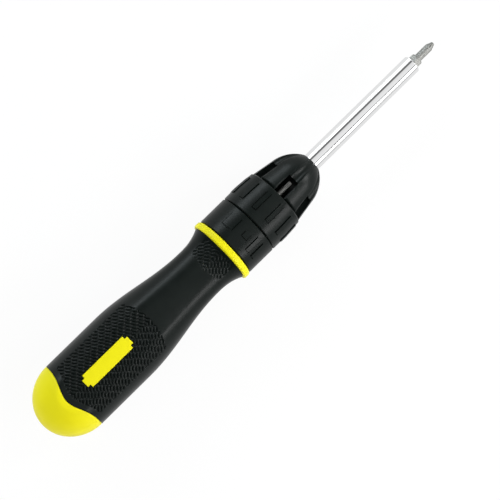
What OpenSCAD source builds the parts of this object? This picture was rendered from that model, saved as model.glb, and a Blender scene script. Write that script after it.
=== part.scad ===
// Ratcheting screwdriver with six spare bits stored round the shaft behind a sliding nose.
// The tool lies along X with its tip at +X and its label face up. It rests on the flat back
// of the handle and on the front ring, and the origin is on the table below its middle.
// Each piece is drawn along its own axis, from the butt at z = 0, and then laid down.

/* [Handle] */
// Length of the rounded butt
butt_len = 21.5; // [17:0.5:26]
// Length of the full width behind the taper
bulge_len = 33.5; // [31:0.5:60]
// Length over which the handle draws in to its neck
taper_len = 53.5; // [44:0.5:70]
// Length of the flare from the neck to the front ring
flare_len = 14; // [12:0.2:22]
// Radius of the full width
grip_r = 19.7; // [19.2:0.1:21.5]
// Radius of the neck
neck_r = 13.8; // [13.2:0.1:15.6]
// Radius of the flare where it meets the front ring
flare_r = 16.8; // [16.2:0.1:17.4]
// Radius of the front ring, which the tool rests on together with its flat back
ring_r = 18.1; // [17.8:0.1:18.7]
// Width of the front ring
ring_w = 3.6; // [3:0.1:7]
// Thickness of the soft grip over the core
grip_t = 2.2; // [1.6:0.1:2.6]
// Where the grip starts on the middle of a face, from the butt
border_z = 16; // [14:0.5:19]
// How much further back the grip starts on the sides
border_dip = 5.4; // [2:0.2:7]
// Breadth of the dip in the border
border_breadth = 10.5; // [6:0.5:12]
// Distance from the butt to the label panel
label_z = 28.3; // [26:0.1:32]
// Length of the label panel
label_len = 30.7; // [20:0.1:34]
// Width of the label panel
label_w = 7.7; // [5:0.1:12]
// Step cut out of each corner of the label panel
label_step = 1.7; // [1:0.1:2]

/* [Ratchet] */
// Running gap between neighbouring collars
collar_gap = 0.4; // [0.3:0.05:0.6]
// Step from the front ring down to the collars
collar_drop = 0.55; // [0.5:0.05:0.9]
// Length of the selector collar
selector_w = 16.4; // [15.4:0.1:20]
// Wall of the selector collar
selector_wall = 2.5; // [2:0.1:2.8]
// Thickness of the ratchet housing's flange
flange_t = 3; // [2.5:0.1:4]
// Length of the chamber that holds the ratchet
chamber_len = 9; // [7.5:0.1:9.6]
// Length of the housing's spigot in the handle
spigot_len = 20; // [16:0.5:24]
// Radius of the housing's spigot
spigot_r = 7.5; // [6.8:0.1:7.8]
// Teeth of the ratchet gear
gear_teeth = 24; // [24:12:24]
// Outer radius of the ratchet gear
gear_r = 6.4; // [6.3:0.05:6.5]
// Radius at the bottom of its teeth
gear_root_r = 4.5; // [4.4:0.05:4.6]
// Radius of the pin that the pawl rocks on
pivot_r = 1.25; // [1:0.05:1.4]
// Radius of the plunger that tilts the pawl
plunger_r = 1.5; // [1.2:0.05:1.6]
// Radius of the spindle in the ratchet
spindle_r = 3.5; // [3.2:0.05:3.6]
// Radius of a cover screw's thread
screw_r = 1; // [0.8:0.05:1.2]

/* [Carrier and nose] */
// Length of the carrier collar
carrier_w = 18.8; // [17.5:0.1:22]
// How much the carrier collar draws in towards the nose
carrier_draw = 0.65; // [0.4:0.05:0.9]
// Radius of the circle that the stored bits stand on
bit_circle_r = 10.6; // [10.4:0.05:10.8]
// Depth of a bit pocket
pocket_depth = 16; // [13:0.5:16]
// Ribs on the carrier collar
rib_count = 12; // [6:6:18]
// Length of a rib
rib_len = 11; // [8:0.5:13]
// Width of a rib
rib_w = 2.2; // [1.4:0.1:3]
// Height of a rib and of the selector's marks
rib_h = 0.45; // [0.3:0.05:0.5]
// Length of the nose
nose_len = 25.4; // [24.6:0.2:30]
// Radius of the nose where it meets the carrier
nose_r = 16.2; // [15.9:0.1:16.8]
// Slope of the nose's sides, in degrees
nose_taper = 9.4; // [8.6:0.1:10]
// Radius of the curve over the nose's front
nose_round_r = 19.2; // [18.5:0.1:20]
// Length of the nose's windows
window_len = 11; // [10:0.2:11.2]
// Width of the nose's windows
window_w = 6.4; // [6.2:0.1:7]
// Depth of the flutes at the windows, from where they run out towards the front
flute_depth = 2; // [1.4:0.05:2.2]

/* [Shaft and bits] */
// Radius of the shaft
shaft_r = 4.9; // [4.7:0.05:5]
// Length of the shaft in front of the nose
shaft_out = 73.3; // [60:0.1:120]
// Across flats of the bits
bit_hex = 6.35; // [6.2:0.05:6.4]
// Length of a bit
bit_len = 25; // [25:0.5:28]
// Length of the hexagon on a bit
bit_hex_len = 13.6; // [12:0.2:14.4]
// How far the fitted bit stands out of the shaft
bit_out = 15; // [14:0.5:16]

/* [Clearances] */
// Clearance of pieces that are fixed to each other
fit_gap = 0.02; // [0.01:0.01:0.05]
// Radial clearance of pieces that turn or slide on each other
run_gap = 0.05; // [0.03:0.01:0.08]
// End clearance of moving pieces
end_gap = 0.3; // [0.2:0.05:0.4]

/* [Hidden] */
$fn = 96;
cut = 1;

// Stations along the axis, from the butt to the tip
bulge_end = butt_len + bulge_len;
neck_z = bulge_end + taper_len;
ring_z = neck_z + flare_len;
ring_end = ring_z + ring_w;
selector_z = ring_end + collar_gap;
selector_end = selector_z + selector_w;
carrier_z = selector_end + collar_gap;
carrier_end = carrier_z + carrier_w;
nose_gap = 0.2;
nose_z = carrier_end + nose_gap;
nose_end = nose_z + nose_len;
shaft_end = nose_end + shaft_out;
overall_len = shaft_end + bit_out;

// Handle
least_face_drop = 1.2;
face_h = min(ring_r, grip_r - least_face_drop);
face_half = sqrt(grip_r * grip_r - face_h * face_h);
socket_wall = 1.7;
neck_h = spigot_r + socket_wall + grip_t;
neck_face_half = sqrt(max(0, neck_r * neck_r - neck_h * neck_h));
face_start = 0.4 * butt_len;
face_run = 0.7 * butt_len;
edge_chamfer = 0.5;
station_gap = 0.2;
dome_steps = 10;
bulge_steps = 4;
taper_steps = 14;
flare_steps = 6;
border_steps = 28;
core_lap = 6;
flare_power = 2.4;
stem_start = border_z - core_lap;
spigot_z = ring_end - spigot_len;
socket_spare = 1;
key_rib_w = 2.4;
key_rib_h = 1;

// Ratchet
collar_r = ring_r - collar_drop;
selector_in_r = collar_r - selector_wall;
inner_r = selector_in_r - run_gap;
flange_end = ring_end + flange_t;
chamber_end = flange_end + chamber_len;
cover_inset = 0.2;
cover_end = selector_end - cover_inset;
gear_z = flange_end + end_gap;
gear_len = chamber_len - 2 * end_gap;
gear_end = gear_z + gear_len;
gear_mid = gear_z + gear_len / 2;
tooth_pitch = 360 / gear_teeth;
tooth_land = 0.1 * tooth_pitch;
tip_angle = 3.5 * tooth_pitch;
tip_bite = 0.6;
tip_r = gear_r - tip_bite;
pivot_dist = tip_r / cos(tip_angle);
tip_half = 0.1;
tip_taper = 10;
arm_gap = 1.3;
arm_t = 2.2;
arm_in_r = gear_r + arm_gap;
arm_out_r = arm_in_r + arm_t;
arm_spare_angle = 5;
arm_end_angle = tip_angle + arm_spare_angle;
back_h = 2;
back_drop = 0.5;
back_flat = 0.8;
back_half = 4.4;
plunger_gap = 0.25;
plunger_tip_r = pivot_dist + back_h + plunger_gap;
plunger_show = 0.7;
boss_r = plunger_tip_r + plunger_show;
boss_half_angle = 9;
plunger_len = 2.5;
bore_floor = 0.9;
plunger_bore_end = collar_r - bore_floor;
spring_turns = 3;
spring_wire_r = 0.2;
spring_rings = 12;
spring_sides = 6;

// Thumb marks on the selector: angle from the middle of a face, shift along the collar, and size
tab_angle = -22;
tab_shift = 1.3;
tab_len = 7.6;
tab_w = 6;
pointer_angle = 11;
pointer_shift = 1.8;
pointer_len = 4.4;
pointer_w = 3.2;
pointer_shoulder = 0.6;
bar_angles = [31, 47];
bar_shift = 0.6;
bar_len = 8.6;

// Spindle, bushes and housing
spindle_flat_depth = 0.6;
spindle_flat = spindle_r - spindle_flat_depth;
bush_wall = 1.5;
rear_bush_r = spindle_r + bush_wall;
bush_inset = 4;
rear_bush_z = spigot_z + bush_inset;
clip_t = 0.8;
clip_gap = 0.2;
spindle_clip_z = rear_bush_z - clip_gap - clip_t;
spindle_spare = 1.2;
spindle_z = spindle_clip_z - spindle_spare;
front_bush_r = shaft_r + bush_wall;
post_r = 2.2;
post_inset = 1.6;
post_circle_r = inner_r - post_r - post_inset;
post_angles = [100, 180, 260];
screw_head_r = 1.8 * screw_r;
screw_head_h = 1.3 * screw_r;
screw_floor = 1;
screw_z = flange_end + screw_floor;
pin_seat = 2;
pin_z = flange_end - pin_seat;
pin_end = chamber_end + pin_seat;

// Tips of the bits: neck radius, then the blade or key
cross_large_r = 2.7;
cross_small_r = 2.2;
cross_fitted_r = 2.1;
cross_tip_share = 1.5;
cross_point_share = 0.42;
cross_flute_share = 0.34;
cross_flute_tilt = 16;
slot_blade_len = 7;
slot_large_r = 2.4;
slot_large_w = 5;
slot_large_t = 1;
slot_small_r = 2.2;
slot_small_w = 4.5;
slot_small_t = 0.8;
key_tip_len = 4;
square_neck_r = 2.2;
square_w = 2.8;
star_neck_r = 1.3;
star_core_r = 0.9;
star_lobe_r = 0.34;
star_lobe_place = 0.82;

// Carrier, nose and shaft
bit_count = 6;
bit_pitch = 360 / bit_count;
bit_corner_r = bit_hex / 2 / cos(30);
bit_bevel = bit_corner_r - bit_hex / 2 + 0.2;
pocket_gap = 0.08;
pocket_r = bit_corner_r + pocket_gap;
pocket_z = carrier_end - pocket_depth;
stored_gap = 0.1;
stored_z = pocket_z + stored_gap;
carrier_straight = 0.45 * carrier_w;
carrier_front_r = collar_r - carrier_draw;
rib_shift = 1;
rib_turn = 3;
rib_z = carrier_z + (carrier_w - rib_len) / 2 + rib_shift;
rib_end = rib_z + rib_len;
rib_start_angle = 180 / rib_count + rib_turn;
key_w = 2;
key_h = 2;
key_len = 10;
key_z = carrier_z + (carrier_w - key_len) / 2;
washer_w = 3.4;
washer_r = shaft_r + washer_w;
carrier_clip_z = carrier_end + run_gap;
clip_w = 1.4;
clip_r = shaft_r + clip_w;
clip_depth = 0.6;
nose_front_w = 0.6;
nose_front_r = shaft_r + nose_front_w;
nose_cone_len = 11.6;
nose_cone_end_r = nose_r - nose_cone_len * tan(nose_taper);
round_lap = 2;
round_centre = arc_centre([nose_cone_end_r, nose_cone_len], [nose_front_r, nose_len], nose_round_r);
tip_spare = 0.3;
slot_floor_r = bit_circle_r - cross_large_r - tip_spare;
clip_room_r = clip_r + end_gap;
clip_room_len = carrier_clip_z + clip_t + end_gap - nose_z;
grip_ring_t = 0.65;
grip_ring_inset = 5;
grip_ring_z = nose_end - grip_ring_inset;
flute_margin = 0.05;
flute_r = window_w / 2 - flute_margin;
flute_round_r = 22;
flute_floor_r = nose_r - window_len * tan(nose_taper) - flute_depth;
flute_front_drop = 0.15;
flute_front_r = nose_front_r - flute_front_drop;
flute_centre = arc_centre([flute_floor_r, window_len], [flute_front_r, nose_len], flute_round_r);
flute_lap = 4;
flute_start = asin((window_len - flute_centre[1]) / flute_round_r) - flute_lap;
flute_end = asin((nose_len - flute_centre[1]) / flute_round_r) + 3 * flute_lap;
socket_gap = 0.1;
socket_hex = bit_hex + socket_gap;
bit_z = overall_len - bit_len;
magnet_t = 2;
magnet_gap = 0.1;
magnet_r = 2.5;
socket_z = bit_z - magnet_gap - magnet_t;

// Placing

// Lays the tool down along X, at rest on its ring and its back face
module on_axis() {
    translate([-overall_len / 2, 0, ring_r]) rotate([0, 90, 0]) children();
}

// Turns what is drawn on the +x side to an angle round the axis, from the top towards -Y
module around(angle) {
    rotate([0, 0, 180 + angle]) children();
}

module at_z(z) {
    translate([0, 0, z]) children();
}

// An outline of (across, along), pushed through the tool from face to face
module through_faces(depth) {
    rotate([90, 0, 90]) linear_extrude(depth, center = true) children();
}

// An outline of (height, along), pushed through the tool from side to side
module through_sides(depth) {
    rotate([90, 0, 0]) linear_extrude(depth, center = true) children();
}

module tube(out_r, in_r, z, len) {
    at_z(z) difference() {
        cylinder(r = out_r, h = len);
        at_z(-cut) cylinder(r = in_r, h = len + 2 * cut);
    }
}

// A ring with both outer edges chamfered
module collar(out_r, in_r, z, len) {
    at_z(z) rotate_extrude() polygon([
        [in_r, 0], [out_r - edge_chamfer, 0], [out_r, edge_chamfer],
        [out_r, len - edge_chamfer], [out_r - edge_chamfer, len], [in_r, len]
    ]);
}

// Handle

function ease(u) = let (v = max(0, min(1, u))) v * v * (3 - 2 * v);

// Radius of the handle at a station
function handle_r(z) =
    z < butt_len ? grip_r * sqrt(1 - pow(1 - z / butt_len, 2)) :
    z < bulge_end ? grip_r :
    z < neck_z ? neck_r + (grip_r - neck_r) * (1 + cos(180 * (z - bulge_end) / taper_len)) / 2 :
    neck_r + (flare_r - neck_r) * pow((z - neck_z) / flare_len, flare_power);

// Half width of the flat faces there, which leave room for the ratchet's socket in the neck
function face_at(z) =
    let (share = z < bulge_end ? 0 : (grip_r - handle_r(z)) / (grip_r - neck_r))
    (face_half + (neck_face_half - face_half) * share) * ease((z - face_start) / face_run);

// Half thickness there, between the two flat faces
function handle_h(z) = min(face_h, sqrt(max(0, pow(handle_r(z), 2) - pow(face_at(z), 2))));

handle_stations = concat(
    [for (i = [1:dome_steps]) butt_len * (1 - cos(90 * i / dome_steps))],
    [for (i = [1:bulge_steps]) butt_len + bulge_len * i / bulge_steps],
    [for (i = [1:taper_steps]) bulge_end + taper_len * i / taper_steps],
    [for (i = [1:flare_steps]) neck_z + flare_len * i / flare_steps]
);

// Where the grip starts, at a distance across the face
function border(y) = border_z + border_dip * (1 - exp(-pow(y / border_breadth, 2)));

// The handle's form from a station forward, drawn in all round by an inset
module handle_form(start, inset) {
    stations = concat([start], [for (z = handle_stations) if (z > start + station_gap) z]);
    intersection() {
        rotate_extrude() polygon(concat(
            [[0, start]],
            [for (z = stations) if (handle_r(z) > inset) [handle_r(z) - inset, z]],
            [[0, ring_z]]
        ));
        through_sides(3 * grip_r) polygon(concat(
            [for (z = stations) [handle_h(z) - inset, z]],
            [for (i = [len(stations) - 1:-1:0]) [inset - handle_h(stations[i]), stations[i]]]
        ));
    }
}

// The side of the wavy border that the grip lies on
module grip_side() {
    reach = grip_r + cut;
    through_faces(3 * grip_r) polygon(concat(
        [for (i = [0:border_steps]) let (y = reach * (2 * i / border_steps - 1)) [y, border(y)]],
        [[reach, ring_z + cut], [-reach, ring_z + cut]]
    ));
}

module label_outline() {
    half_w = label_w / 2;
    difference() {
        translate([-half_w, label_z]) square([label_w, label_len]);
        for (side = [-1, 1], end = [label_z, label_z + label_len])
            translate([side * half_w - label_step, end - label_step]) square(2 * label_step);
    }
}

// The column under the label panel, as high as the face it shows in
module label_column() {
    translate([-grip_r, 0, 0]) rotate([90, 0, 90]) linear_extrude(grip_r) label_outline();
}

// Ribs that keep the ratchet housing from turning in the handle
module key_ribs(gap) {
    for (angle = [-90, 90])
        around(angle) translate([0, -key_rib_w / 2 - gap, spigot_z - gap])
            cube([spigot_r + key_rib_h + gap, key_rib_w + 2 * gap, spigot_len + gap]);
}

module handle_core() {
    color("gold") on_axis() difference() {
        union() {
            difference() {
                handle_form(0, 0);
                grip_side();
            }
            handle_form(stem_start, grip_t);
            intersection() {
                handle_form(stem_start, 0);
                label_column();
            }
            collar(ring_r, 0, ring_z, ring_w);
        }
        at_z(spigot_z - socket_spare) cylinder(r = spigot_r + fit_gap, h = spigot_len + socket_spare + cut);
        key_ribs(fit_gap);
        at_z(ring_end - cut) cylinder(r = spigot_r + fit_gap, h = 2 * cut);
    }
}

module grip_sleeve() {
    color("#26282a") on_axis() difference() {
        intersection() {
            handle_form(stem_start, 0);
            grip_side();
        }
        handle_form(stem_start - cut, grip_t);
        label_column();
    }
}

// Ratchet

module posts(r, z, end) {
    for (angle = post_angles)
        around(angle) translate([post_circle_r, 0, z]) cylinder(r = r, h = end - z);
}

module pivot_hole(r, z, end) {
    around(0) translate([pivot_dist, 0, z]) cylinder(r = r, h = end - z);
}

module ratchet_housing() {
    color("#3a3d40") on_axis() difference() {
        union() {
            at_z(spigot_z) cylinder(r = spigot_r, h = spigot_len + flange_t);
            key_ribs(0);
            at_z(ring_end) cylinder(r = inner_r, h = flange_t);
            posts(post_r, flange_end - cut, chamber_end);
        }
        at_z(spigot_z - cut) cylinder(r = rear_bush_r + fit_gap, h = spigot_len + flange_t + 2 * cut);
        posts(screw_r + fit_gap, screw_z, chamber_end + cut);
        pivot_hole(pivot_r + fit_gap, pin_z, flange_end + cut);
    }
}

module housing_cover() {
    color("#3a3d40") on_axis() difference() {
        at_z(chamber_end) cylinder(r = inner_r, h = cover_end - chamber_end);
        at_z(chamber_end - cut) cylinder(r = front_bush_r + fit_gap, h = cover_end - chamber_end + 2 * cut);
        posts(screw_r + fit_gap, chamber_end - cut, cover_end);
        posts(screw_head_r + fit_gap, cover_end - screw_head_h, cover_end + cut);
        pivot_hole(pivot_r + fit_gap, chamber_end - cut, pin_end);
    }
}

module cover_screws() {
    color("silver") on_axis() {
        posts(screw_r, screw_z, cover_end - screw_head_h);
        posts(screw_head_r, cover_end - screw_head_h, cover_end);
    }
}

module pawl_pin() {
    color("silver") on_axis() pivot_hole(pivot_r, pin_z, pin_end);
}

module rear_bush() {
    color("peru") on_axis() tube(rear_bush_r, spindle_r + run_gap, rear_bush_z, flange_end - rear_bush_z);
}

module front_bush() {
    color("peru") on_axis() tube(front_bush_r, shaft_r + run_gap, chamber_end, cover_end - chamber_end);
}

// Teeth with narrow lands and straight valleys, a valley half a pitch from the pawl's middle
module gear_outline() {
    corners = [[-tooth_pitch / 2, gear_root_r], [-tooth_land, gear_r], [tooth_land, gear_r]];
    polygon([for (i = [0:gear_teeth - 1], corner = corners)
        let (turn = i * tooth_pitch + corner[0])
        corner[1] * [cos(turn), sin(turn)]]);
}

module spindle_outline(r, flat) {
    intersection() {
        circle(r = r);
        square([2 * flat, 2 * r], center = true);
    }
}

module ratchet_gear() {
    color("#8c8f93") on_axis() around(0) at_z(gear_z) linear_extrude(gear_len) difference() {
        gear_outline();
        spindle_outline(spindle_r + fit_gap, spindle_flat + fit_gap);
    }
}

// One tooth of the pawl, pointing at the gear's centre
module pawl_tooth() {
    root_r = (arm_in_r + arm_out_r) / 2;
    root_half = tip_half + (root_r - tip_r) * tan(tip_taper);
    polygon([[tip_r, -tip_half], [tip_r, tip_half], [root_r, root_half], [root_r, -root_half]]);
}

// A crescent round the gear, with a crowned back for the plunger
module pawl_crescent() {
    reach = 2 * arm_out_r;
    difference() {
        union() {
            intersection() {
                circle(r = arm_out_r);
                polygon([
                    [0, 0], reach * [cos(arm_end_angle), -sin(arm_end_angle)],
                    [reach, 0], reach * [cos(arm_end_angle), sin(arm_end_angle)]
                ]);
            }
            translate([pivot_dist, 0]) polygon([
                [-back_h, -back_half], [back_h - back_drop, -back_half], [back_h, -back_flat],
                [back_h, back_flat], [back_h - back_drop, back_half], [-back_h, back_half]
            ]);
        }
        circle(r = arm_in_r);
    }
}

module rocker_pawl() {
    color("#75787c") on_axis() around(0) at_z(gear_z) difference() {
        union() {
            linear_extrude(gear_len) pawl_crescent();
            for (side = [-1, 1])
                rotate(side * tip_angle) linear_extrude(gear_len) pawl_tooth();
        }
        translate([pivot_dist, 0, -cut]) cylinder(r = pivot_r + run_gap, h = gear_len + 2 * cut);
    }
}

// Selector

// A mark raised on the collar, drawn as (along, across) about a station
module raised_mark(angle, z) {
    intersection() {
        around(angle) at_z(z) rotate([0, 90, 0]) linear_extrude(collar_r + cut) rotate(180) children();
        tube(collar_r + rib_h, collar_r - cut, selector_z, selector_w);
    }
}

// A wide tab, a pointer and two bars, as thumb marks on each face
module selector_marks() {
    middle = selector_z + selector_w / 2;
    half_len = pointer_len / 2;
    half_w = pointer_w / 2;
    for (face = [0, 180]) {
        raised_mark(face + tab_angle, middle + tab_shift) square([tab_len, tab_w], center = true);
        raised_mark(face + pointer_angle, middle + pointer_shift) polygon([
            [-half_len, -half_w], [pointer_shoulder, -half_w], [half_len, 0],
            [pointer_shoulder, half_w], [-half_len, half_w]
        ]);
        for (bar = bar_angles)
            raised_mark(face + bar, middle + bar_shift) square([bar_len, rib_w], center = true);
    }
}

module selector_ring() {
    color("#202224") on_axis() difference() {
        union() {
            collar(collar_r, selector_in_r, selector_z, selector_w);
            selector_marks();
            at_z(gear_z) around(-boss_half_angle) rotate_extrude(angle = 2 * boss_half_angle)
                translate([boss_r, 0]) square([selector_in_r - boss_r + cut, gear_len]);
        }
        around(0) translate([boss_r - cut, 0, gear_mid]) rotate([0, 90, 0])
            cylinder(r = plunger_r + run_gap, h = plunger_bore_end - boss_r + cut);
    }
}

module selector_plunger() {
    tail = plunger_tip_r + plunger_len;
    color("silver") on_axis() around(0) translate([plunger_tip_r + plunger_r, 0, gear_mid]) {
        rotate([0, 90, 0]) cylinder(r = plunger_r, h = tail - plunger_tip_r - plunger_r);
        sphere(r = plunger_r);
    }
}

// A wire wound along z, as one unbroken tube with flat ends
module wound_wire(turns, coil_r, wire_r, rise) {
    steps = turns * spring_rings;
    rings = [for (i = [0:steps])
        let (turn = 360 * i / spring_rings, z = rise * i / steps)
        [for (j = [0:spring_sides - 1])
            let (side = 360 * j / spring_sides, r = coil_r + wire_r * cos(side))
            [r * cos(turn), r * sin(turn), z + wire_r * sin(side)]]];
    last = steps * spring_sides;
    polyhedron(
        [for (ring = rings) each ring],
        concat(
            [[for (j = [0:spring_sides - 1]) j]],
            [for (i = [0:steps - 1], j = [0:spring_sides - 1], half = [0, 1])
                let (a = i * spring_sides + j, b = i * spring_sides + (j + 1) % spring_sides)
                half == 0 ? [a, a + spring_sides, b] : [b, a + spring_sides, b + spring_sides]],
            [[for (j = [spring_sides - 1:-1:0]) last + j]]
        )
    );
}

module plunger_spring() {
    start = plunger_tip_r + plunger_len + spring_wire_r;
    rise = plunger_bore_end - spring_wire_r - start;
    color("silver") on_axis() around(0) translate([start, 0, gear_mid]) rotate([0, 90, 0])
        wound_wire(spring_turns, plunger_r - 2 * spring_wire_r, spring_wire_r, rise);
}

// Shaft

// Hexagon with a corner towards the tool's top
module hexagon(across, len) {
    cylinder(r = across / 2 / cos(30), h = len, $fn = 6);
}

module key_slot(gap) {
    around(bit_pitch / 2) translate([shaft_r - key_h / 2 - gap, -key_w / 2 - gap, key_z - gap])
        cube([key_h + 2 * gap, key_w + 2 * gap, key_len + 2 * gap]);
}

module shaft() {
    color("#e4e7ea") on_axis() difference() {
        union() {
            at_z(spindle_z) cylinder(r = spindle_r, h = gear_z - spindle_z);
            around(0) at_z(gear_z) linear_extrude(gear_len) spindle_outline(spindle_r, spindle_flat);
            collar(shaft_r, 0, gear_end, shaft_end - gear_end);
        }
        at_z(socket_z) hexagon(socket_hex, shaft_end - socket_z + cut);
        tube(spindle_r + cut, spindle_r - clip_depth, spindle_clip_z - fit_gap, clip_t + 2 * fit_gap);
        tube(shaft_r + cut, shaft_r - clip_depth, carrier_clip_z - fit_gap, clip_t + 2 * fit_gap);
        key_slot(fit_gap);
    }
}

// An open retaining ring in its groove
module retaining_ring(out_r, groove_r, z) {
    difference() {
        tube(out_r, groove_r + fit_gap, z, clip_t);
        translate([0, -groove_r / 2, z - cut]) cube([out_r + cut, groove_r, clip_t + 2 * cut]);
    }
}

module spindle_clip() {
    color("#8c8f93") on_axis() retaining_ring(rear_bush_r - end_gap, spindle_r - clip_depth, spindle_clip_z);
}

module carrier_clip() {
    color("#8c8f93") on_axis() retaining_ring(clip_r, shaft_r - clip_depth, carrier_clip_z);
}

module thrust_washer() {
    color("peru") on_axis()
        tube(washer_r, shaft_r + fit_gap, cover_end + run_gap, carrier_z - cover_end - 2 * run_gap);
}

module bit_magnet() {
    color("#55585c") on_axis() at_z(socket_z) cylinder(r = magnet_r, h = magnet_t);
}

// Carrier

// Radius of the carrier collar at a station: straight, then drawn in to its front
function carrier_r(z) =
    let (straight_end = carrier_z + carrier_straight, front = carrier_end - edge_chamfer)
    collar_r - carrier_draw * max(0, z - straight_end) / (front - straight_end);

module carrier_body() {
    at_z(carrier_z) rotate_extrude() polygon([
        [0, 0], [collar_r - edge_chamfer, 0], [collar_r, edge_chamfer], [collar_r, carrier_straight],
        [carrier_front_r, carrier_w - edge_chamfer], [carrier_front_r - edge_chamfer, carrier_w],
        [0, carrier_w]
    ]);
}

// A rib of even height, which follows the carrier collar
module carrier_rib() {
    root_r = carrier_front_r - cut;
    through_sides(rib_w) polygon([
        [root_r, rib_z], [collar_r + rib_h, rib_z], [collar_r + rib_h, carrier_z + carrier_straight],
        [carrier_r(rib_end) + rib_h, rib_end], [root_r, rib_end]
    ]);
}

module bit_carrier() {
    color("#202224") on_axis() difference() {
        union() {
            carrier_body();
            for (i = [0:rib_count - 1])
                around(rib_start_angle + i * 360 / rib_count) carrier_rib();
        }
        at_z(carrier_z - cut) cylinder(r = shaft_r + fit_gap, h = carrier_w + 2 * cut);
        for (i = [0:bit_count - 1])
            around(i * bit_pitch) translate([bit_circle_r, 0, pocket_z])
                cylinder(r = pocket_r, h = pocket_depth + cut);
        key_slot(fit_gap);
    }
}

module carrier_key() {
    color("silver") on_axis() key_slot(0);
}

// Nose

// Centre of the arc of a radius that bulges outward from one point to the next, as (radius, along)
function arc_centre(from, to, r) =
    let (chord = to - from, lift = sqrt(r * r - chord * chord / 4))
    (from + to) / 2 + lift * [-chord[1], chord[0]] / norm(chord);

// The nose's form: sloping sides, then a curve to the front
module nose_form() {
    cylinder(r1 = nose_r, r2 = nose_cone_end_r, h = nose_cone_len);
    rotate_extrude() intersection() {
        translate(round_centre) circle(r = nose_round_r);
        translate([0, nose_cone_len - round_lap]) square([nose_r, nose_len - nose_cone_len + round_lap]);
    }
}

// A round flute that starts at a window and runs out towards the front
module flute() {
    translate([flute_centre[0], 0, flute_centre[1]]) rotate([90, 0, 0]) rotate(flute_start)
        rotate_extrude(angle = flute_end - flute_start)
            translate([flute_round_r + flute_r, 0]) circle(r = flute_r);
}

module nose_cap() {
    color("#1c1e20") on_axis() at_z(nose_z) difference() {
        nose_form();
        at_z(-cut) cylinder(r = shaft_r + run_gap, h = nose_len + 2 * cut);
        at_z(-cut) cylinder(r = clip_room_r, h = clip_room_len + cut);
        for (i = [0:bit_count - 1])
            around(i * bit_pitch) {
                translate([slot_floor_r, -window_w / 2, -cut]) cube([nose_r, window_w, window_len + cut]);
                flute();
            }
        at_z(grip_ring_z - nose_z - grip_ring_t - fit_gap)
            cylinder(r = shaft_r + run_gap + 2 * grip_ring_t + fit_gap, h = 2 * grip_ring_t + 2 * fit_gap);
    }
}

module nose_grip_ring() {
    color("#111111") on_axis() at_z(grip_ring_z) rotate_extrude()
        translate([shaft_r + run_gap + grip_ring_t, 0]) circle(r = grip_ring_t);
}

// Bits

// The common hexagon and round neck of a bit
module bit_blank(neck_r, neck_len) {
    end_r = bit_corner_r - bit_bevel;
    intersection() {
        hexagon(bit_hex, bit_hex_len);
        rotate_extrude() polygon([
            [0, 0], [end_r, 0], [bit_corner_r, bit_bevel],
            [bit_corner_r, bit_hex_len - 2 * bit_bevel], [end_r, bit_hex_len], [0, bit_hex_len]
        ]);
    }
    at_z(bit_hex_len - cut) cylinder(r = neck_r, h = neck_len + cut);
}

// A pointed tip with four V flutes
module cross_bit(neck_r) {
    point_r = cross_point_share * neck_r;
    tip_len = cross_tip_share * neck_r;
    shoulder = bit_len - tip_len;
    difference() {
        union() {
            bit_blank(neck_r, shoulder - bit_hex_len);
            at_z(shoulder) cylinder(r1 = neck_r, r2 = point_r, h = tip_len);
        }
        for (quarter = [0:3])
            rotate(90 * quarter) translate([cross_flute_share * neck_r, 0, bit_len])
                rotate([0, -cross_flute_tilt, 0]) at_z(-2 * tip_len) rotate(-45)
                    cube([2 * neck_r, 2 * neck_r, 3 * tip_len]);
    }
}

// A flat blade that thins towards its edge
module slot_bit(neck_r, blade_w, blade_t) {
    blade_len = slot_blade_len;
    shoulder = bit_len - blade_len;
    bit_blank(neck_r, shoulder - bit_hex_len);
    at_z(shoulder) intersection() {
        through_sides(4 * neck_r) polygon([
            [-neck_r, 0], [neck_r, 0], [blade_t / 2, 0.8 * blade_len], [blade_t / 2, blade_len],
            [-blade_t / 2, blade_len], [-blade_t / 2, 0.8 * blade_len]
        ]);
        through_faces(4 * neck_r) polygon([
            [-neck_r, 0], [neck_r, 0], [blade_w / 2, 0.5 * blade_len], [blade_w / 2, blade_len],
            [-blade_w / 2, blade_len], [-blade_w / 2, 0.5 * blade_len]
        ]);
        cylinder(r = max(neck_r, blade_w / 2), h = blade_len);
    }
}

// A straight tip of any outline
module key_bit(neck_r) {
    bit_blank(neck_r, bit_len - key_tip_len - bit_hex_len);
    at_z(bit_len - key_tip_len) linear_extrude(key_tip_len) children();
}

module stored(place) {
    on_axis() around(place * bit_pitch) translate([bit_circle_r, 0, stored_z]) children();
}

module stored_bit_cross_large() {
    color("#7d8084") stored(3) cross_bit(cross_large_r);
}

module stored_bit_slot_small() {
    color("#7d8084") stored(1) slot_bit(slot_small_r, slot_small_w, slot_small_t);
}

module stored_bit_square() {
    color("#7d8084") stored(2) key_bit(square_neck_r) square(square_w, center = true);
}

module stored_bit_star() {
    color("#7d8084") stored(0) key_bit(star_neck_r) union() {
        circle(r = star_core_r);
        for (lobe = [0:5])
            rotate(60 * lobe) translate([star_lobe_place, 0]) circle(r = star_lobe_r);
    }
}

module stored_bit_cross_small() {
    color("#7d8084") stored(4) cross_bit(cross_small_r);
}

module stored_bit_slot_large() {
    color("#7d8084") stored(5) slot_bit(slot_large_r, slot_large_w, slot_large_t);
}

module driver_bit() {
    color("#7d8084") on_axis() at_z(bit_z) cross_bit(cross_fitted_r);
}

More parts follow.
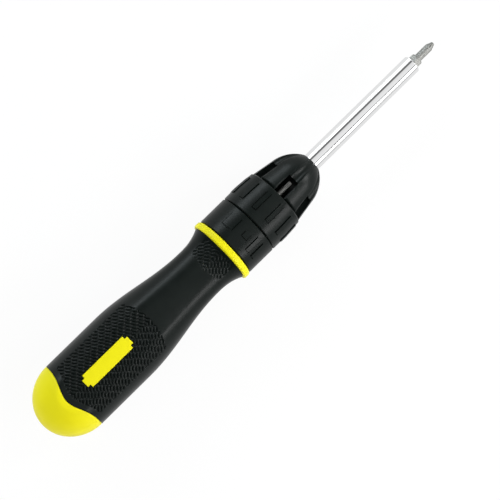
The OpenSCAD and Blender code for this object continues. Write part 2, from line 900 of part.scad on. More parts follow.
handle_core();
grip_sleeve();
ratchet_housing();
housing_cover();
cover_screws();
pawl_pin();
rear_bush();
front_bush();
selector_ring();
selector_plunger();
plunger_spring();
rocker_pawl();
shaft();
ratchet_gear();
spindle_clip();
thrust_washer();
bit_carrier();
carrier_key();
carrier_clip();
bit_magnet();
stored_bit_slot_small();
stored_bit_slot_large();
stored_bit_cross_small();
stored_bit_cross_large();
stored_bit_square();
stored_bit_star();
nose_cap();
nose_grip_ring();
driver_bit();
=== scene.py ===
"""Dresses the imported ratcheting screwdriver: a lofted handle with a treaded soft grip, moulded black
collars and nose, a chromed shaft and grey steel bits, lying on a plain pale floor."""

import math

import bpy
from mathutils import Matrix, Vector


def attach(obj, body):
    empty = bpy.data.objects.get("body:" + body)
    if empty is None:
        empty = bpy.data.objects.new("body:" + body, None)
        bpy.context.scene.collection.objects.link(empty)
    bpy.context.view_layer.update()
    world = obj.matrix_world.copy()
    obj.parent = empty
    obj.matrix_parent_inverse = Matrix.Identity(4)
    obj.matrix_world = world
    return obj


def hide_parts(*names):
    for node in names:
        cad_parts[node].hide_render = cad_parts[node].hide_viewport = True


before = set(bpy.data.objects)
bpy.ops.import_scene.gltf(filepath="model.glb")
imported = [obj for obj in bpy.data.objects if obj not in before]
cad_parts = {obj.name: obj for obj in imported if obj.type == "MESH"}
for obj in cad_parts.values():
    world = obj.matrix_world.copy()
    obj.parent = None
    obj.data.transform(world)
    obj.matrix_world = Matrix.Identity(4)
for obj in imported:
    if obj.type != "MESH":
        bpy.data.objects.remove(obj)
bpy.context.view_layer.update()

# Sizes in millimetres, as in the CAD model. A station is a distance along the axis from the butt.
MM = 0.001
OVERALL_LEN = 276.0
AXIS_HEIGHT = 18.1
BUTT_LEN = 21.5
BULGE_END = 55.0
TAPER_LEN = 53.5
NECK = BULGE_END + TAPER_LEN
FLARE_LEN = 14.0
FLARE_POWER = 2.4
RING_LEN = 3.6
RING_START = NECK + FLARE_LEN
RING_END = RING_START + RING_LEN
GRIP_R = 19.7
NECK_R = 13.8
FLARE_R = 16.8
RING_R = 18.1
GRIP_T = 2.2
FACE_HALF = math.sqrt(GRIP_R ** 2 - RING_R ** 2)
FACE_START = 0.4 * BUTT_LEN
FACE_RUN = 0.7 * BUTT_LEN
BORDER = 16.0
BORDER_DIP = 5.4
BORDER_BREADTH = 10.5
LABEL_START = 28.3
LABEL_END = 59.0
LABEL_HALF = 3.85
LABEL_STEP = 1.7
SOCKET_R = 7.52
SOCKET_START = 105.1

# How the handle's skin is rounded, and how it dips where the grip meets the butt and the ring
RIDGE_SOFT = 1.6
LEAST_SOFT = 1e-3
LEAST_COSINE = 1e-6
NECK_POWER = 2.25
BORDER_PASSES = 4
SEAM_DROP = 0.35
SEAM_RUN = 0.35

# Edges at a larger angle, in degrees, are shaded sharp. The second is for the label panel and the grip.
SHARP_ANGLE = 40.0
MOULDED_SHARP_ANGLE = 50.0


def ease(share):
    """Runs smoothly from zero to one as its value does."""
    inside = min(max(share, 0.0), 1.0)
    return inside * inside * (3.0 - 2.0 * inside)


def smooth_min(first, second, soft):
    """The smaller of two values, blended where they are nearly equal."""
    overlap = max(soft - abs(first - second), 0.0)
    return min(first, second) - overlap * overlap / (4.0 * soft)


def to_frame(station, across, height):
    """A point in the shared frame, from its station, its way to the right and its height over the axis."""
    return ((station - OVERALL_LEN / 2) * MM, -across * MM, (AXIS_HEIGHT + height) * MM)


def place(station, turn, reach):
    """A point of the tool: an angle round the axis, from the top to the right, at a distance from it."""
    return to_frame(station, reach * math.sin(turn), reach * math.cos(turn))


def handle_radius(station):
    """Half the handle's width."""
    if station < BUTT_LEN:
        return GRIP_R * math.sqrt(max(0.0, 1.0 - (1.0 - station / BUTT_LEN) ** 2))
    if station < BULGE_END:
        return GRIP_R
    if station < NECK:
        share = (station - BULGE_END) / TAPER_LEN
        return NECK_R + (GRIP_R - NECK_R) * (1.0 + math.cos(math.pi * share)) / 2.0
    return NECK_R + (FLARE_R - NECK_R) * ((station - NECK) / FLARE_LEN) ** FLARE_POWER


def handle_reach(station, turn, inset=0.0):
    """Distance from the axis to the handle's skin: flat on the two faces, and nearly oval at the neck."""
    radius = handle_radius(station)
    flatness = ease((station - FACE_START) / FACE_RUN)
    face = FACE_HALF * flatness
    height = min(RING_R, math.sqrt(max(0.0, radius * radius - face * face)))
    flat = (height - inset) / max(abs(math.cos(turn)), LEAST_COSINE)
    ridged = smooth_min(radius - inset, flat, RIDGE_SOFT * flatness + LEAST_SOFT)
    ovalness = ease((station - BULGE_END) / TAPER_LEN)
    if ovalness == 0.0:
        return ridged
    across = abs(math.sin(turn)) / (radius - inset)
    upward = abs(math.cos(turn)) / (height - inset)
    oval = (across ** NECK_POWER + upward ** NECK_POWER) ** (-1.0 / NECK_POWER)
    return ridged + (oval - ridged) * ovalness


def border(across):
    """Station of the wavy line where the grip meets the butt."""
    return BORDER + BORDER_DIP * (1.0 - math.exp(-((across / BORDER_BREADTH) ** 2)))


def border_at(turn):
    """Station of the wavy line at an angle round the axis, found step by step."""
    station = BORDER
    for step in range(BORDER_PASSES):
        station = border(handle_reach(station, turn) * math.sin(turn))
    return station


# Materials

PATCH_DETAIL = 4.0
PATCH_LOW = 0.3
PATCH_HIGH = 0.7
GRAIN_DETAIL = 3.0
GRAIN_HEIGHT = 0.0001
BLACKS = ((0.0042, 0.0064, 0.0056), (0.0058, 0.0084, 0.0074))
FINISHES = {
    "yellow_plastic": dict(
        name="yellow_moulding", colours=((0.83, 0.755, 0.011), (0.8, 0.725, 0.009)), patch=90,
        roughness=(0.34, 0.42), grain=5000, bump=0.06, specular=0.1),
    "grip_rubber": dict(
        name="soft_grip", colours=BLACKS, patch=160,
        roughness=(0.27, 0.35), grain=7000, bump=0.2, specular=0.13),
    "black_plastic": dict(
        name="black_moulding", colours=BLACKS, patch=140,
        roughness=(0.28, 0.36), grain=8000, bump=0.15, specular=0.13),
    "housing_plastic": dict(
        name="housing_moulding", colours=((0.09, 0.09, 0.1), (0.11, 0.11, 0.12)), patch=200,
        roughness=(0.45, 0.6), grain=6000, bump=0.2),
    "shaft_chrome": dict(
        name="bright_chrome", colours=((0.9, 0.9, 0.9), (0.87, 0.875, 0.88)), patch=120,
        roughness=(0.04, 0.07), grain=2500, bump=0.02, metallic=1.0, stretch=(1, 4, 4)),
    "bit_steel": dict(
        name="grey_bit_steel", colours=((0.3, 0.3, 0.285), (0.24, 0.24, 0.23)), patch=400,
        roughness=(0.52, 0.62), grain=6000, bump=0.25, metallic=0.75, specular=0.3, stretch=(0.4, 2, 2)),
    "screw_steel": dict(
        name="zinc_plate", colours=((0.62, 0.62, 0.64), (0.56, 0.56, 0.58)), patch=500,
        roughness=(0.22, 0.34), grain=6000, bump=0.1, metallic=1.0),
    "bush_bronze": dict(
        name="sintered_bronze", colours=((0.55, 0.37, 0.19), (0.47, 0.31, 0.16)), patch=700,
        roughness=(0.38, 0.5), grain=9000, bump=0.4, metallic=1.0),
    "ratchet_steel": dict(
        name="hardened_steel", colours=((0.42, 0.42, 0.44), (0.34, 0.34, 0.36)), patch=500,
        roughness=(0.28, 0.42), grain=7000, bump=0.2, metallic=1.0),
    "magnet": dict(
        name="magnet_nickel", colours=((0.5, 0.49, 0.47), (0.44, 0.43, 0.41)), patch=500,
        roughness=(0.2, 0.3), grain=7000, bump=0.1, metallic=1.0),
    "ring_rubber": dict(
        name="friction_rubber", colours=((0.014, 0.014, 0.014), (0.02, 0.02, 0.02)), patch=300,
        roughness=(0.6, 0.7), grain=8000, bump=0.3),
}


def add_node(tree, kind, values=None, operation=None):
    """A new node in a shader tree, with its operation and the values of its inputs."""
    made = tree.nodes.new(kind)
    if operation:
        made.operation = operation
    for socket, value in (values or {}).items():
        made.inputs[socket].default_value = value
    return made


def procedural(name, colours, patch, roughness, grain, bump, metallic=0.0, specular=0.5, stretch=(1, 1, 1)):
    """A material whose colour, roughness and surface vary with two scales of noise over the object."""
    made = bpy.data.materials.new(name)
    made.use_nodes = True
    tree = made.node_tree
    links = tree.links
    shader = tree.nodes["Principled BSDF"]
    shader.inputs["Metallic"].default_value = metallic
    shader.inputs["Specular IOR Level"].default_value = specular
    where = add_node(tree, "ShaderNodeTexCoord")
    scaled = add_node(tree, "ShaderNodeMapping", {"Scale": stretch})
    links.new(where.outputs["Object"], scaled.inputs["Vector"])
    clouds = add_node(tree, "ShaderNodeTexNoise", {"Scale": patch, "Detail": PATCH_DETAIL})
    links.new(scaled.outputs["Vector"], clouds.inputs["Vector"])
    tint = add_node(tree, "ShaderNodeValToRGB")
    for element, position, colour in zip(tint.color_ramp.elements, (PATCH_LOW, PATCH_HIGH), colours):
        element.position = position
        element.color = (*colour, 1.0)
    links.new(clouds.outputs["Fac"], tint.inputs["Fac"])
    links.new(tint.outputs["Color"], shader.inputs["Base Color"])
    fine = add_node(tree, "ShaderNodeTexNoise", {"Scale": grain, "Detail": GRAIN_DETAIL})
    links.new(scaled.outputs["Vector"], fine.inputs["Vector"])
    polish = add_node(tree, "ShaderNodeMapRange", {"To Min": roughness[0], "To Max": roughness[1]})
    links.new(clouds.outputs["Fac"], polish.inputs["Value"])
    links.new(polish.outputs["Result"], shader.inputs["Roughness"])
    relief = add_node(tree, "ShaderNodeBump", {"Strength": bump, "Distance": GRAIN_HEIGHT})
    links.new(fine.outputs["Fac"], relief.inputs["Height"])
    links.new(relief.outputs["Normal"], shader.inputs["Normal"])
    return made


materials = {slot: procedural(**finish) for slot, finish in FINISHES.items()}
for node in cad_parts.values():
    for held in node.material_slots:
        held.material = materials[held.material.name]

# Building of pieces


def finish_piece(name, mesh, body, slot, sharp=SHARP_ANGLE):
    """A smoothly shaded piece on a body, with the material of its slot."""
    mesh.polygons.foreach_set("use_smooth", [True] * len(mesh.polygons))
    mesh.set_sharp_from_angle(angle=math.radians(sharp))
    mesh.materials.append(materials[slot])
    piece = bpy.data.objects.new(name, mesh)
    bpy.context.scene.collection.objects.link(piece)
    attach(piece, body)
    return piece


def build(name, rows, body, slot, looped=False, sharp=SHARP_ANGLE):
    """A closed mesh through rings of points. A ring of one point is a pole, and a loop joins its ends."""
    points = []
    starts = []
    for row in rows:
        starts.append(len(points))
        points.extend(row)
    faces = []
    pairs = [(i, i + 1) for i in range(len(rows) - 1)]
    if looped:
        pairs.append((len(rows) - 1, 0))
    for low, high in pairs:
        below = starts[low]
        above = starts[high]
        count = max(len(rows[low]), len(rows[high]))
        for j in range(count):
            k = (j + 1) % count
            if len(rows[low]) == 1:
                faces.append((below, above + k, above + j))
            elif len(rows[high]) == 1:
                faces.append((below + j, below + k, above))
            else:
                faces.append((below + j, below + k, above + k, above + j))
    mesh = bpy.data.meshes.new(name)
    mesh.from_pydata(points, [], faces)
    mesh.update()
    return finish_piece(name, mesh, body, slot, sharp)


# Handle core: butt, hidden stem, front ring and the socket for the ratchet housing

CORE_COLUMNS = 192
DOME_ROWS = 40
STEM_ROWS = 60
SEAM_SHARES = (0.35, 0.7, 1.0)
RING_ROUND = 0.9
RING_STEPS = 8

core_turns = [2 * math.pi * j / CORE_COLUMNS for j in range(CORE_COLUMNS)]
core_edges = [border_at(turn) for turn in core_turns]
core_rows = [[place(0.0, 0.0, 0.0)]]
for i in range(1, DOME_ROWS + 1):
    row = []
    for turn, edge in zip(core_turns, core_edges):
        sweep = math.acos(1.0 - (edge - SEAM_RUN) / BUTT_LEN) * i / DOME_ROWS
        station = BUTT_LEN * (1.0 - math.cos(sweep))
        row.append(place(station, turn, handle_reach(station, turn)))
    core_rows.append(row)
for share in SEAM_SHARES:
    core_rows.append([
        place(edge - SEAM_RUN * (1.0 - share), turn, handle_reach(edge, turn) - SEAM_DROP * share * share)
        for turn, edge in zip(core_turns, core_edges)
    ])
for i in range(STEM_ROWS + 1):
    row = []
    for turn, edge in zip(core_turns, core_edges):
        station = edge + (RING_START - edge) * i / STEM_ROWS
        row.append(place(station, turn, handle_reach(station, turn, GRIP_T)))
    core_rows.append(row)
ring_profile = []
for corner, start in ((RING_START + RING_ROUND, 180), (RING_END - RING_ROUND, 90)):
    for step in range(RING_STEPS + 1):
        angle = math.radians(start - 90 * step / RING_STEPS)
        station = corner + RING_ROUND * math.cos(angle)
        ring_profile.append((station, RING_R + RING_ROUND * (math.sin(angle) - 1.0)))
ring_profile += [(RING_END, SOCKET_R), (SOCKET_START, SOCKET_R)]
for station, reach in ring_profile:
    core_rows.append([place(station, turn, reach) for turn in core_turns])
core_rows.append([place(SOCKET_START, 0.0, 0.0)])
core = build("handle_core_skin", core_rows, "handle", "yellow_plastic")

# Label panel, a bare plate with stepped corners and a rounded rim that stands in a narrow groove

LABEL_MIDDLE = (LABEL_START + LABEL_END) / 2
PANEL_TOP = RING_R - 0.05
PANEL_FOOT = 3.2
PANEL_RIM = ((-0.34, 0.08), (-0.16, 0.12), (-0.05, 0.24), (0.0, 0.4), (0.0, PANEL_FOOT))


def label_outline(grow):
    """Corners of the label panel, moved outwards by a margin."""
    half = LABEL_HALF + grow
    inner = half - LABEL_STEP
    start = LABEL_START - grow
    end = LABEL_END + grow
    return [
        (start, -inner), (start + LABEL_STEP, -inner), (start + LABEL_STEP, -half), (end - LABEL_STEP, -half),
        (end - LABEL_STEP, -inner), (end, -inner), (end, inner), (end - LABEL_STEP, inner),
        (end - LABEL_STEP, half), (start + LABEL_STEP, half), (start + LABEL_STEP, inner), (start, inner),
    ]


panel_rows = [[to_frame(LABEL_MIDDLE, 0.0, PANEL_TOP)]]
for grow, drop in PANEL_RIM:
    panel_rows.append([to_frame(station, across, RING_R - drop) for station, across in label_outline(grow)])
panel_rows.append([to_frame(LABEL_MIDDLE, 0.0, RING_R - PANEL_FOOT)])
build("label_panel", panel_rows, "handle", "yellow_plastic", sharp=MOULDED_SHARP_ANGLE)
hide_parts("handle_core")

# Soft grip: a sleeve with chevron treads on both faces and a recess for the label panel

GRIP_COLUMNS = 420
ROW_STEP = 0.3
INNER_ROWS = 40
WARP_END = 28.0
BUTT_GAP = 0.03
STEM_GAP = 0.05

# Treads: short bars, whose half sizes are shares of their pitch and length
TREAD_DEPTH = 0.7
TREAD_PITCH = 1.66
TREAD_LEN = 3.25
TREAD_FADE = 0.5
BAR_HALF_WIDTH = 0.44
BAR_HALF_LEN = 0.54
BAR_STEEPNESS = 1.6

# Pads that carry the treads: a large one on the bulge, and a shallower one on the flare
PAD_HALF = 15.3
PAD_FRONT = 73.0
PAD_FRONT_BOW = 4.0
PAD_REAR_MARGIN = 3.2
NECK_TREAD_SHARE = 0.55
NECK_PAD_START = 109.3
NECK_PAD_SLANT = 0.25
NECK_PAD_END = 121.2
NECK_PAD_HALF = 9.6

# Recess round the label panel, whose walls stand between two grid lines each
LABEL_GAP = 0.3
RECESS_DEPTH = 1.1
RECESS_START = LABEL_START - LABEL_GAP
RECESS_END = LABEL_END + LABEL_GAP
RECESS_HALF = LABEL_HALF + LABEL_GAP
RECESS_INNER = RECESS_HALF - LABEL_STEP
WALL_SIDES = (-0.04, 0.04)
CLEAR_TURN = 0.006
CLEAR_STATION = 0.12


def tread(station, across):
    """How far the surface lies below the top of the short slanting bars."""
    side = abs(across)
    along_bar = (station - side) / math.sqrt(2) / TREAD_LEN
    over_bars = (station + side) / math.sqrt(2) / TREAD_PITCH
    over_bars += 0.5 * (math.floor(along_bar) % 2)
    over = over_bars - math.floor(over_bars) - 0.5
    along = along_bar - math.floor(along_bar) - 0.5
    lens = 1.0 - (over / BAR_HALF_WIDTH) ** 2 - (along / BAR_HALF_LEN) ** 2
    return 1.0 - ease(BAR_STEEPNESS * max(0.0, lens))


def pad(station, across):
    """How fully the treads are cut at a point: one on the large pad, and nothing on the smooth grip."""
    side = abs(across)
    front = PAD_FRONT - PAD_FRONT_BOW * (side / PAD_HALF) ** 2
    rear = border(across) + PAD_REAR_MARGIN
    inside = min(station - rear, front - station, PAD_HALF - side)
    past_rear = station - NECK_PAD_START - NECK_PAD_SLANT * side
    neck = min(past_rear, NECK_PAD_END - station, NECK_PAD_HALF - side)
    return max(ease(inside / TREAD_FADE + 0.5), NECK_TREAD_SHARE * ease(neck / TREAD_FADE + 0.5))


def in_recess(station, across):
    """Whether a point lies within the stepped outline of the recess."""
    side = abs(across)
    if RECESS_START < station < RECESS_END and side < RECESS_INNER:
        return True
    return RECESS_START + LABEL_STEP < station < RECESS_END - LABEL_STEP and side < RECESS_HALF


def with_lines(even, lines, clear):
    """Even grid lines, with extra ones put in where a wall has to be crisp."""
    kept = [value for value in even if all(abs(value - line) > clear for line in lines)]
    return sorted(kept + lines)


def warped(station, edge):
    """Rows follow the wavy border at the butt and straighten before the label."""
    fade = max(0.0, 1.0 - (station - BORDER) / (WARP_END - BORDER))
    return station + (edge - BORDER) * fade


wall_turns = [
    math.atan2(side * (half + offset), RING_R)
    for side in (-1, 1)
    for half in (RECESS_HALF, RECESS_INNER)
    for offset in WALL_SIDES
]
even_turns = [2 * math.pi * j / GRIP_COLUMNS - math.pi for j in range(GRIP_COLUMNS)]
grip_turns = with_lines(even_turns, wall_turns, CLEAR_TURN)
wall_stations = [
    wall + offset
    for wall in (RECESS_START, RECESS_START + LABEL_STEP, RECESS_END - LABEL_STEP, RECESS_END)
    for offset in WALL_SIDES
]
row_count = round((RING_START - BORDER) / ROW_STEP)
even_stations = [BORDER + (RING_START - BORDER) * i / row_count for i in range(row_count + 1)]
grip_stations = with_lines(even_stations, wall_stations, CLEAR_STATION)
grip_edges = [border_at(turn) for turn in grip_turns]
grip_rows = []
for i, nominal in enumerate(grip_stations):
    gap = BUTT_GAP if i == 0 else 0.0
    row = []
    for turn, edge in zip(grip_turns, grip_edges):
        station = warped(nominal, edge)
        reach = handle_reach(station, turn)
        across = reach * math.sin(turn)
        depth = TREAD_DEPTH * pad(station, across)
        if depth > 0.0:
            depth *= tread(station, across)
        if math.cos(turn) > 0.0 and in_recess(station, across):
            depth = RECESS_DEPTH
        seam = max(0.0, 1.0 - (station - edge) / SEAM_RUN)
        mouth = max(0.0, 1.0 - (RING_START - station) / SEAM_RUN)
        depth += SEAM_DROP * (seam * seam + mouth * mouth)
        row.append(place(station + gap, turn, reach - depth))
    grip_rows.append(row)
for i in range(INNER_ROWS + 1):
    gap = BUTT_GAP if i == INNER_ROWS else 0.0
    nominal = RING_START + (BORDER - RING_START) * i / INNER_ROWS
    row = []
    for turn, edge in zip(grip_turns, grip_edges):
        station = warped(nominal, edge)
        row.append(place(station + gap, turn, handle_reach(station, turn, GRIP_T - STEM_GAP)))
    grip_rows.append(row)
grip = build("grip_sleeve_skin", grip_rows, "handle", "grip_rubber", looped=True, sharp=MOULDED_SHARP_ANGLE)
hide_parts("grip_sleeve")

# Collars: the CAD pieces, with a narrow groove moulded round the back and sides of each mark and rib

COLLAR_R = 17.55
GROOVE_W = 0.45
GROOVE_DEPTH = 0.5
GROOVE_BITE = 0.02
GROOVE_TOP = 19.5
RIB_START = 148.2
RIB_END = 159.2
RIB_HALF = 1.1
RIB_COUNT = 12
FIRST_RIB = 18.0
RIB_FLOOR_FALL = 0.3

# Marks of the selector on either face: angle, start and end from the collar's middle, and half width
SELECTOR_MIDDLE = 134.7
SELECTOR_FACES = (0, 180)
SELECTOR_MARKS = (
    (-22, -2.5, 5.1, 3.0),
    (11, -0.4, 2.4, 1.6),
    (31, -3.7, 4.9, RIB_HALF),
    (47, -3.7, 4.9, RIB_HALF),
)

# Rounding of edges: its least angle in degrees, and lengths in millimetres
ROUND_ANGLE = 32
ROUND_SEGMENTS = 3
JOIN_LEN = 0.001
COLLAR_ROUND = 0.1
COLLAR_MERGE = 0.006
NOSE_ROUND = 0.2
SHAFT_ROUND = 0.15
TURNED_MERGE = 0.004


def groove(angle, start, end, half, fall=0.0):
    """A U-shaped cutter about a mark, as corner points and faces. Its bottom falls towards the front."""
    turn = math.radians(angle)
    inner = half - GROOVE_BITE
    outer = half + GROOVE_W
    outline = [
        (start - GROOVE_W, -outer), (end, -outer), (end, -inner), (start + GROOVE_BITE, -inner),
        (start + GROOVE_BITE, inner), (end, inner), (end, outer), (start - GROOVE_W, outer),
    ]
    corners = []
    for top in (False, True):
        for station, across in outline:
            bottom = COLLAR_R - GROOVE_DEPTH - fall * (station - start) / (end - start)
            reach = GROOVE_TOP if top else bottom
            sideways = reach * math.sin(turn) + across * math.cos(turn)
            height = reach * math.cos(turn) - across * math.sin(turn)
            corners.append(to_frame(station, sideways, height))
    count = len(outline)
    faces = [tuple(range(count)), tuple(range(2 * count - 1, count - 1, -1))]
    for i in range(count):
        k = (i + 1) % count
        faces.append((k, i, count + i, count + k))
    return corners, faces


def carved(name, node_name, grooves):
    """A copy of a CAD piece's mesh, in the piece's place, with the grooves cut out of it."""
    corners = []
    faces = []
    for new_corners, new_faces in grooves:
        faces += [tuple(len(corners) + i for i in face) for face in new_faces]
        corners += new_corners
    cutter_mesh = bpy.data.meshes.new("groove_cutter")
    cutter_mesh.from_pydata(corners, [], faces)
    cutter = bpy.data.objects.new("groove_cutter", cutter_mesh)
    bpy.context.scene.collection.objects.link(cutter)
    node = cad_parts[node_name]
    blank_mesh = node.data.copy()
    blank_mesh.transform(node.matrix_world)
    blank = bpy.data.objects.new("blank", blank_mesh)
    bpy.context.scene.collection.objects.link(blank)
    joined = blank.modifiers.new("join", "WELD")
    joined.merge_threshold = JOIN_LEN * MM
    cut = blank.modifiers.new("cut", "BOOLEAN")
    cut.operation = "DIFFERENCE"
    cut.solver = "EXACT"
    cut.object = cutter
    bpy.context.view_layer.update()
    evaluated = blank.evaluated_get(bpy.context.evaluated_depsgraph_get())
    mesh = bpy.data.meshes.new_from_object(evaluated)
    mesh.name = name
    bpy.data.objects.remove(blank)
    bpy.data.objects.remove(cutter)
    bpy.data.meshes.remove(blank_mesh)
    bpy.data.meshes.remove(cutter_mesh)
    mesh.materials.clear()
    return mesh


def round_edges(piece, width, merge):
    """Narrow rounded edges. Points closer together than the merge length are joined afterwards."""
    joined = piece.modifiers.new("join", "WELD")
    joined.merge_threshold = JOIN_LEN * MM
    rounded = piece.modifiers.new("round", "BEVEL")
    rounded.width = width * MM
    rounded.segments = ROUND_SEGMENTS
    rounded.limit_method = "ANGLE"
    rounded.angle_limit = math.radians(ROUND_ANGLE)
    rounded.use_clamp_overlap = True
    cleaned = piece.modifiers.new("clean", "WELD")
    cleaned.merge_threshold = merge * MM
    shaded = piece.modifiers.new("shade", "WEIGHTED_NORMAL")
    shaded.keep_sharp = False


selector_grooves = [
    groove(face + angle, SELECTOR_MIDDLE + start, SELECTOR_MIDDLE + end, half)
    for face in SELECTOR_FACES
    for angle, start, end, half in SELECTOR_MARKS
]
carrier_grooves = [
    groove(FIRST_RIB + 360 * i / RIB_COUNT, RIB_START, RIB_END, RIB_HALF, RIB_FLOOR_FALL)
    for i in range(RIB_COUNT)
]
selector_mesh = carved("selector_ring_skin", "selector_ring", selector_grooves)
selector = finish_piece("selector_ring_skin", selector_mesh, "selector", "black_plastic")
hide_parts("selector_ring")
carrier_mesh = carved("bit_carrier_skin", "bit_carrier", carrier_grooves)
carrier = finish_piece("bit_carrier_skin", carrier_mesh, "drive", "black_plastic")
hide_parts("bit_carrier")

round_edges(selector, COLLAR_ROUND, COLLAR_MERGE)
round_edges(carrier, COLLAR_ROUND, COLLAR_MERGE)
round_edges(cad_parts["nose_cap"], NOSE_ROUND, TURNED_MERGE)
round_edges(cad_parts["shaft"], SHAFT_ROUND, TURNED_MERGE)

# Floor: matt paper for the light that falls on it, and nearly white to the camera and in reflections

scene = bpy.context.scene
scene.view_settings.view_transform = "Standard"

FLOOR_HALF = 4.0
PAPER_COLOUR = (0.9, 0.9, 0.9, 1.0)
PAPER_SEEN = 1.0
PAPER_REFLECTED = 0.84
PAPER_GLOW_SHARE = 0.93

floor_mesh = bpy.data.meshes.new("floor")
floor_corners = [
    (-FLOOR_HALF, -FLOOR_HALF, 0), (FLOOR_HALF, -FLOOR_HALF, 0),
    (FLOOR_HALF, FLOOR_HALF, 0), (-FLOOR_HALF, FLOOR_HALF, 0),
]
floor_mesh.from_pydata(floor_corners, [], [(0, 1, 2, 3)])
floor = bpy.data.objects.new("floor", floor_mesh)
scene.collection.objects.link(floor)
paper = bpy.data.materials.new("paper_floor")
paper.use_nodes = True
tree = paper.node_tree
links = tree.links
tree.nodes.clear()
paper_out = add_node(tree, "ShaderNodeOutputMaterial")
blend = add_node(tree, "ShaderNodeMixShader")
matt = add_node(tree, "ShaderNodeBsdfDiffuse", {"Color": PAPER_COLOUR})
glow = add_node(tree, "ShaderNodeEmission")
ray = add_node(tree, "ShaderNodeLightPath")
glow_level = add_node(tree, "ShaderNodeMapRange", {"To Min": PAPER_REFLECTED, "To Max": PAPER_SEEN})
links.new(ray.outputs["Is Camera Ray"], glow_level.inputs["Value"])
links.new(glow_level.outputs["Result"], glow.inputs["Strength"])
seen = add_node(tree, "ShaderNodeMath", operation="MAXIMUM")
links.new(ray.outputs["Is Camera Ray"], seen.inputs[0])
links.new(ray.outputs["Is Glossy Ray"], seen.inputs[1])
glow_share = add_node(tree, "ShaderNodeMath", {1: PAPER_GLOW_SHARE}, "MULTIPLY")
links.new(seen.outputs["Value"], glow_share.inputs[0])
links.new(glow_share.outputs["Value"], blend.inputs["Fac"])
links.new(matt.outputs["BSDF"], blend.inputs[1])
links.new(glow.outputs["Emission"], blend.inputs[2])
links.new(blend.outputs["Shader"], paper_out.inputs["Surface"])
floor_mesh.materials.append(paper)

# World: soft white light. Reflections show a studio with bands round the tool, dark towards the butt.

WHITE = (1.0, 1.0, 1.0, 1.0)
SKY_LIGHT = 0.25

# Bands by their angle from the top to the right, in degrees, and their brightness
STUDIO_BANDS = [
    (-180, 0.9), (-95, 0.9), (-80, 1.0), (-45, 1.0), (-37, 0.14), (-24, 0.14), (-14, 0.82), (24, 0.92),
    (34, 0.9), (40, 0.14), (49, 0.14), (55, 1.0), (76, 1.0), (83, 0.5), (92, 0.5), (98, 0.9), (180, 0.9),
]

# Shares of a direction along the tool between which the studio goes from dark to its full brightness
BUTT_SIDE_DARK = -0.62
BUTT_SIDE_LIGHT = -0.2
BUTT_SIDE_LEVEL = 0.05

world = bpy.data.worlds.new("studio")
scene.world = world
world.use_nodes = True
tree = world.node_tree
links = tree.links
tree.nodes.clear()
world_out = add_node(tree, "ShaderNodeOutputWorld")
sky = add_node(tree, "ShaderNodeBackground", {"Color": WHITE, "Strength": SKY_LIGHT})
mirror = add_node(tree, "ShaderNodeBackground")
direction = add_node(tree, "ShaderNodeTexCoord")
parts = add_node(tree, "ShaderNodeSeparateXYZ")
links.new(direction.outputs["Generated"], parts.inputs["Vector"])
flip = add_node(tree, "ShaderNodeMath", {1: -1.0}, "MULTIPLY")
links.new(parts.outputs["Y"], flip.inputs[0])
bearing = add_node(tree, "ShaderNodeMath", operation="ARCTAN2")
links.new(flip.outputs["Value"], bearing.inputs[0])
links.new(parts.outputs["Z"], bearing.inputs[1])
turned = add_node(tree, "ShaderNodeMapRange", {"From Min": -math.pi, "From Max": math.pi})
links.new(bearing.outputs["Value"], turned.inputs["Value"])
bands = add_node(tree, "ShaderNodeValToRGB")
ramp = bands.color_ramp
for extra in range(len(STUDIO_BANDS) - 2):
    ramp.elements.new(0.5)
for element, (angle, level) in zip(ramp.elements, STUDIO_BANDS):
    element.position = angle / 360.0 + 0.5
    element.color = (level, level, level, 1.0)
links.new(turned.outputs["Result"], bands.inputs["Fac"])
links.new(bands.outputs["Color"], mirror.inputs["Color"])
card = add_node(tree, "ShaderNodeMapRange", {
    "From Min": BUTT_SIDE_DARK, "From Max": BUTT_SIDE_LIGHT, "To Min": BUTT_SIDE_LEVEL, "To Max": 1.0})
links.new(parts.outputs["X"], card.inputs["Value"])
links.new(card.outputs["Result"], mirror.inputs["Strength"])
plain = add_node(tree, "ShaderNodeBackground", {"Color": WHITE, "Strength": 1.0})
ray = add_node(tree, "ShaderNodeLightPath")
unseen = add_node(tree, "ShaderNodeMixShader")
links.new(ray.outputs["Is Glossy Ray"], unseen.inputs["Fac"])
links.new(sky.outputs["Background"], unseen.inputs[1])
links.new(mirror.outputs["Background"], unseen.inputs[2])
whole = add_node(tree, "ShaderNodeMixShader")
links.new(ray.outputs["Is Camera Ray"], whole.inputs["Fac"])
links.new(unseen.outputs["Shader"], whole.inputs[1])
links.new(plain.outputs["Background"], whole.inputs[2])
links.new(whole.outputs["Shader"], world_out.inputs["Surface"])

# Camera: nearly straight above, a little towards the butt, and rolled so that the tool lies on a diagonal

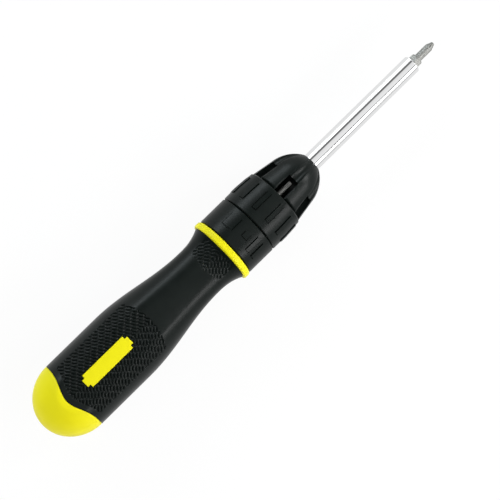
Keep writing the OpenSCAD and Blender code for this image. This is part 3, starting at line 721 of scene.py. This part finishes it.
TILT = math.radians(7.85)
ROLL = math.radians(44.5)
CAMERA_DISTANCE = 1.1
AIM_RIGHT = 4.38
AIM_DOWN = 9.42
SENSOR_WIDTH = 36.0
LENS = 158.2

middle = Vector((0.0, 0.0, AXIS_HEIGHT * MM))
away = Vector((-math.sin(TILT), 0.0, math.cos(TILT)))
along_view = Vector((math.cos(TILT), 0.0, math.sin(TILT)))
right = math.cos(ROLL) * along_view - math.sin(ROLL) * Vector((0, 1, 0))
up = math.sin(ROLL) * along_view + math.cos(ROLL) * Vector((0, 1, 0))
aim = middle + AIM_RIGHT * MM * right - AIM_DOWN * MM * up
camera_data = bpy.data.cameras.new("camera")
camera_data.sensor_width = SENSOR_WIDTH
camera_data.lens = LENS
camera = bpy.data.objects.new("camera", camera_data)
pose = Matrix((right, up, away)).transposed().to_4x4()
pose.translation = aim + CAMERA_DISTANCE * away
camera.matrix_world = pose
scene.collection.objects.link(camera)
scene.camera = camera

# Lamps


def softbox(name, toward, distance, length, width, power):
    """An area light that faces the tool from a direction, with its long side along the tool."""
    out = Vector(toward).normalized()
    across = out.cross(Vector((1.0, 0.0, 0.0))).normalized()
    data = bpy.data.lights.new(name, "AREA")
    data.shape = "RECTANGLE"
    data.size = length
    data.size_y = width
    data.energy = power
    lamp = bpy.data.objects.new(name, data)
    facing = Matrix((across.cross(out), across, out)).transposed().to_4x4()
    facing.translation = middle + distance * out
    lamp.matrix_world = facing
    scene.collection.objects.link(lamp)
    return lamp


left_strip = softbox(
    "left_strip", toward=(0.18, 0.87, 0.48), distance=0.64, length=0.7, width=0.17, power=2.4)
left_strip.data.color = (0.9, 1.0, 1.04)
softbox("right_strip", toward=(0.18, -0.84, 0.53), distance=0.64, length=0.7, width=0.16, power=2.9)
softbox("key", toward=(0.7, -0.35, 0.5), distance=0.9, length=0.3, width=0.3, power=3.4)
fill = softbox("fill", toward=(-0.8, 0.1, 0.5), distance=0.9, length=0.6, width=0.6, power=2.7)
fill.visible_glossy = False
